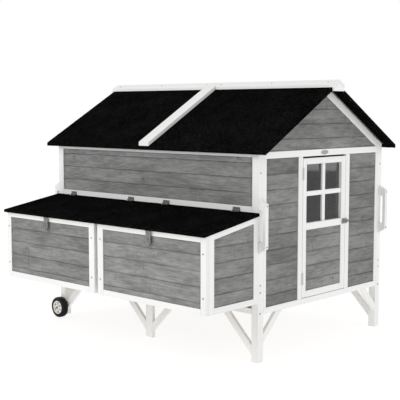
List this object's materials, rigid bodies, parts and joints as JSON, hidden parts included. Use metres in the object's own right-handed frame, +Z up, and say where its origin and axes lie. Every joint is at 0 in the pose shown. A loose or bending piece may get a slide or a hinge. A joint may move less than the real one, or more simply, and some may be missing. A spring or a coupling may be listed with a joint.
{
  "type": "chicken tractor",
  "caption": "Raised wooden hen house on legs and wheels, with a felted gable roof, a glazed end door, lidded nest boxes along one side and lifting handles.",
  "frame": {"origin": "on the ground, under the middle of the object's box", "axes": "+X along the house towards the door end, -Y towards the nest boxes, +Z up"},
  "size_m": [1.836, 1.6526, 1.5002],
  "materials": {
    "white_trim": "white painted softwood",
    "grey_siding": "grey stained softwood boards",
    "plain_wood": "bare softwood and plywood",
    "felt": "black mineral roofing felt",
    "steel": "galvanised steel",
    "plate": "dull blank plate",
    "pane": "smoky clear sheet",
    "tyre": "black moulded tyre",
    "rim": "off-white moulded plastic"
  },
  "bodies": {
    "house": {"posts_door_end": "white_trim", "posts_wheel_end": "white_trim", "middle_legs": "white_trim", "leg_braces": "white_trim", "floor_frame": "white_trim", "floor_boards": "plain_wood", "front_wall_frame": "white_trim", "front_wall_boards": "grey_siding", "back_wall_frame": "white_trim", "back_wall_boards": "grey_siding", "door_gable_frame": "white_trim", "door_gable_boards": "grey_siding", "wheel_gable_frame": "white_trim", "wheel_gable_boards": "grey_siding", "ridge_beam": "white_trim", "rafters": "white_trim", "barge_boards": "white_trim", "roof_boards": "plain_wood", "roof_felt": "felt", "roof_battens": "white_trim", "ridge_caps": "white_trim", "ridge_blocks": "white_trim", "perches": "plain_wood", "perch_cleats": "plain_wood", "nest_left_frame": "white_trim", "nest_left_boards": "grey_siding", "nest_right_frame": "white_trim", "nest_right_boards": "grey_siding", "nest_floors": "plain_wood", "nest_dividers": "plain_wood", "handles_door_end": "white_trim", "handles_wheel_end": "white_trim", "fixed_hinge_leaves": "steel", "hinge_pins": "steel", "staple_plates": "steel", "bolt_keeper": "steel", "wheel_axles": "steel", "screws": "steel", "blank_plate": "plate"},
    "door": {"door_frame": "white_trim", "door_boards": "grey_siding", "door_pane": "pane", "door_hinge_leaves": "steel", "bolt_guides": "steel"},
    "door_bolt": {"door_bolt": "steel"},
    "lid_left": {"lid_left_board": "plain_wood", "lid_left_felt": "felt", "lid_left_hardware": "steel"},
    "lid_right": {"lid_right_board": "plain_wood", "lid_right_felt": "felt", "lid_right_hardware": "steel"},
    "hasp_left": {"hasp_left": "steel"},
    "hasp_right": {"hasp_right": "steel"},
    "turn_button_left": {"turn_button_left": "steel"},
    "turn_button_right": {"turn_button_right": "steel"},
    "wheel_front": {"tyre_front": "tyre", "rim_front": "rim"},
    "wheel_back": {"tyre_back": "tyre", "rim_back": "rim"}
  },
  "joints": [
    {"name": "door_swing", "type": "hinge", "parent": "house", "child": "door", "pos_m": [0.8328, -0.02275, 0.681], "axis": [0, 0, -1], "range_deg": [0, 150]},
    {"name": "bolt_slide", "type": "slide", "parent": "door", "child": "door_bolt", "axis": [0, 1, 0], "range_m": [0, 0.013]},
    {"name": "lid_left_lift", "type": "hinge", "parent": "house", "child": "lid_left", "pos_m": [-0.42, -0.40905, 0.80402], "axis": [-1, 0, 0], "range_deg": [0, 90]},
    {"name": "hasp_left_swing", "type": "hinge", "parent": "lid_left", "child": "hasp_left", "pos_m": [-0.431, -0.81925, 0.71095], "axis": [-1, 0, 0], "range_deg": [-9, 90]},
    {"name": "turn_button_left_turn", "type": "hinge", "parent": "house", "child": "turn_button_left", "pos_m": [-0.431, -0.80825, 0.66295], "axis": [0, 1, 0], "range_deg": [0, 90]},
    {"name": "lid_right_lift", "type": "hinge", "parent": "house", "child": "lid_right", "pos_m": [0.42, -0.40905, 0.80402], "axis": [-1, 0, 0], "range_deg": [0, 90]},
    {"name": "hasp_right_swing", "type": "hinge", "parent": "lid_right", "child": "hasp_right", "pos_m": [0.431, -0.81925, 0.71095], "axis": [-1, 0, 0], "range_deg": [-9, 90]},
    {"name": "turn_button_right_turn", "type": "hinge", "parent": "house", "child": "turn_button_right", "pos_m": [0.431, -0.80825, 0.66295], "axis": [0, 1, 0], "range_deg": [0, 90]},
    {"name": "wheel_front_spin", "type": "hinge", "parent": "house", "child": "wheel_front", "pos_m": [-0.8055, -0.43225, 0.065], "axis": [0, 1, 0], "continuous": true},
    {"name": "wheel_back_spin", "type": "hinge", "parent": "house", "child": "wheel_back", "pos_m": [-0.8055, 0.79575, 0.065], "axis": [0, 1, 0], "continuous": true}
  ]
}
